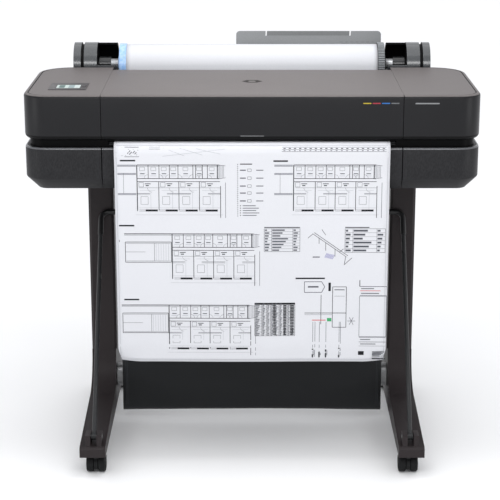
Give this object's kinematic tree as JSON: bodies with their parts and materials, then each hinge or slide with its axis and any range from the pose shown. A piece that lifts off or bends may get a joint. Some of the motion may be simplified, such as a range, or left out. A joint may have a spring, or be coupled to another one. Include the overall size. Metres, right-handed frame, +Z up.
{
  "type": "large format plotter",
  "caption": "Roll-fed wide printer with a long rounded body, hinged lid and display, paper roll and sheet tray behind, on a dark stand with casters and a fabric catch basket",
  "frame": {"origin": "on the floor under the middle of the stand", "axes": "+X to the right seen from the front, +Y to the back, +Z up"},
  "size_m": [1.013, 0.605, 0.9321],
  "materials": {
    "stand_metal": "satin",
    "crossbar_metal": "satin",
    "fastener_steel": "brushed",
    "caster_plastic": "matte",
    "caster_tread": "matte",
    "hoop_metal": "satin",
    "basket_cloth": "matte",
    "pan_metal": "matte",
    "lower_plastic": "fine grain",
    "slot_gloss": "gloss",
    "deck_plastic": "matte",
    "frame_metal": "brushed",
    "display_gloss": "gloss",
    "display_glass": "gloss",
    "rear_plastic": "matte",
    "support_gloss": "gloss",
    "spindle_metal": "satin",
    "hub_blue": "gloss",
    "hub_grey": "matte",
    "core_board": "matte",
    "roll_paper": "matte",
    "belt_rubber": "matte",
    "carriage_plastic": "matte",
    "head_brass": "satin",
    "roller_rubber": "matte",
    "ink_plastic": "matte",
    "tray_plastic": "matte",
    "board_plastic": "matte"
  },
  "bodies": {
    "chassis": {"leg_left": "stand_metal", "leg_right": "stand_metal", "foot_left": "stand_metal", "foot_right": "stand_metal", "crossbar": "crossbar_metal", "stand_bolts": "fastener_steel", "hoop_pivot_pins": "fastener_steel", "basket_fabric": "basket_cloth", "base_pan": "pan_metal", "lower_cover_left": "lower_plastic", "lower_cover_centre": "lower_plastic", "lower_cover_right": "lower_plastic", "slot_liner": "slot_gloss", "side_housing_left": "deck_plastic", "side_housing_right": "deck_plastic", "lid_hinges": "frame_metal", "display_frame": "display_gloss", "display_screen": "display_glass", "rear_cover": "rear_plastic", "rear_trough": "rear_plastic", "roll_support_left": "support_gloss", "roll_support_right": "support_gloss", "printed_sheet": "roll_paper", "frame_plates": "frame_metal", "carriage_rail": "frame_metal", "carriage_rod": "frame_metal", "carriage_belt": "belt_rubber", "carriage_motor": "pan_metal", "platen": "carriage_plastic", "service_station": "carriage_plastic", "ink_bay": "carriage_plastic", "ink_cartridges": "ink_plastic", "feeder_sleeve": "rear_plastic", "rear_ports": "carriage_plastic", "main_board": "board_plastic", "power_supply": "frame_metal"},
    "lid": {"lid": "deck_plastic"},
    "carriage": {"carriage": "carriage_plastic", "printhead": "head_brass"},
    "drive_pulley": {"drive_pulley": "spindle_metal"},
    "idler_pulley": {"idler_pulley": "spindle_metal"},
    "spindle": {"spindle_rod": "spindle_metal", "spindle_hub_blue": "hub_blue", "spindle_hub_grey": "hub_grey", "roll_core": "core_board", "paper_roll": "roll_paper"},
    "feed_roller": {"feed_roller": "roller_rubber"},
    "pinch_wheels": {"pinch_wheels": "roller_rubber"},
    "hoop": {"basket_hoop": "hoop_metal", "basket_rods": "hoop_metal"},
    "feeder_tray": {"feeder_tray": "tray_plastic"},
    "power_button": {"power_button": "display_gloss"},
    "caster_fl": {"caster_hood_fl": "caster_plastic"},
    "wheels_fl": {"caster_wheels_fl": "caster_tread"},
    "caster_fr": {"caster_hood_fr": "caster_plastic"},
    "wheels_fr": {"caster_wheels_fr": "caster_tread"},
    "caster_rl": {"caster_hood_rl": "caster_plastic"},
    "wheels_rl": {"caster_wheels_rl": "caster_tread"},
    "caster_rr": {"caster_hood_rr": "caster_plastic"},
    "wheels_rr": {"caster_wheels_rr": "caster_tread"}
  },
  "joints": [
    {"name": "lid_hinge", "type": "hinge", "parent": "chassis", "child": "lid", "pos_m": [0, 0.122, 0.85], "axis": [-1, 0, 0], "range_deg": [0, 65]},
    {"name": "carriage_slide", "type": "slide", "parent": "chassis", "child": "carriage", "axis": [1, 0, 0], "range_m": [-0.74, 0]},
    {"name": "drive_pulley_spin", "type": "hinge", "parent": "chassis", "child": "drive_pulley", "pos_m": [-0.4465, 0.014, 0.815], "axis": [0, 1, 0], "continuous": true},
    {"name": "idler_pulley_spin", "type": "hinge", "parent": "chassis", "child": "idler_pulley", "pos_m": [0.4465, 0.014, 0.815], "axis": [0, 1, 0], "continuous": true},
    {"name": "spindle_spin", "type": "hinge", "parent": "chassis", "child": "spindle", "pos_m": [0, 0.231, 0.862], "axis": [1, 0, 0], "continuous": true},
    {"name": "feed_roller_spin", "type": "hinge", "parent": "chassis", "child": "feed_roller", "pos_m": [0, 0.07, 0.7466], "axis": [1, 0, 0], "continuous": true},
    {"name": "pinch_wheels_spin", "type": "hinge", "parent": "chassis", "child": "pinch_wheels", "pos_m": [0, 0.07, 0.7642], "axis": [1, 0, 0], "continuous": true},
    {"name": "hoop_swing", "type": "hinge", "parent": "chassis", "child": "hoop", "pos_m": [0, -0.274, 0.088], "axis": [1, 0, 0], "range_deg": [0, 24]},
    {"name": "tray_slide", "type": "slide", "parent": "chassis", "child": "feeder_tray", "axis": [0, 0.0523, 0.9986], "range_m": [-0.08, 0]},
    {"name": "power_press", "type": "slide", "parent": "chassis", "child": "power_button", "axis": [0, 0, -1], "range_m": [0, 0.0006], "stiffness_N_per_m": 300, "springref_m": -0.001},
    {"name": "swivel_fl", "type": "hinge", "parent": "chassis", "child": "caster_fl", "pos_m": [-0.35725, -0.273, 0.047], "axis": [0, 0, 1], "continuous": true},
    {"name": "wheel_fl", "type": "hinge", "parent": "caster_fl", "child": "wheels_fl", "pos_m": [-0.35725, -0.265, 0.021], "axis": [1, 0, 0], "continuous": true},
    {"name": "swivel_fr", "type": "hinge", "parent": "chassis", "child": "caster_fr", "pos_m": [0.35725, -0.273, 0.047], "axis": [0, 0, 1], "continuous": true},
    {"name": "wheel_fr", "type": "hinge", "parent": "caster_fr", "child": "wheels_fr", "pos_m": [0.35725, -0.265, 0.021], "axis": [1, 0, 0], "continuous": true},
    {"name": "swivel_rl", "type": "hinge", "parent": "chassis", "child": "caster_rl", "pos_m": [-0.35725, 0.273, 0.047], "axis": [0, 0, 1], "continuous": true},
    {"name": "wheel_rl", "type": "hinge", "parent": "caster_rl", "child": "wheels_rl", "pos_m": [-0.35725, 0.281, 0.021], "axis": [1, 0, 0], "continuous": true},
    {"name": "swivel_rr", "type": "hinge", "parent": "chassis", "child": "caster_rr", "pos_m": [0.35725, 0.273, 0.047], "axis": [0, 0, 1], "continuous": true},
    {"name": "wheel_rr", "type": "hinge", "parent": "caster_rr", "child": "wheels_rr", "pos_m": [0.35725, 0.281, 0.021], "axis": [1, 0, 0], "continuous": true}
  ],
  "couplings": [
    {"joint": "feed_roller_spin", "follows": "spindle_spin", "ratio": 4.7},
    {"joint": "pinch_wheels_spin", "follows": "spindle_spin", "ratio": -7.8333},
    {"joint": "drive_pulley_spin", "follows": "carriage_slide", "rad_per_m": 80.645},
    {"joint": "idler_pulley_spin", "follows": "carriage_slide", "rad_per_m": 80.645}
  ]
}
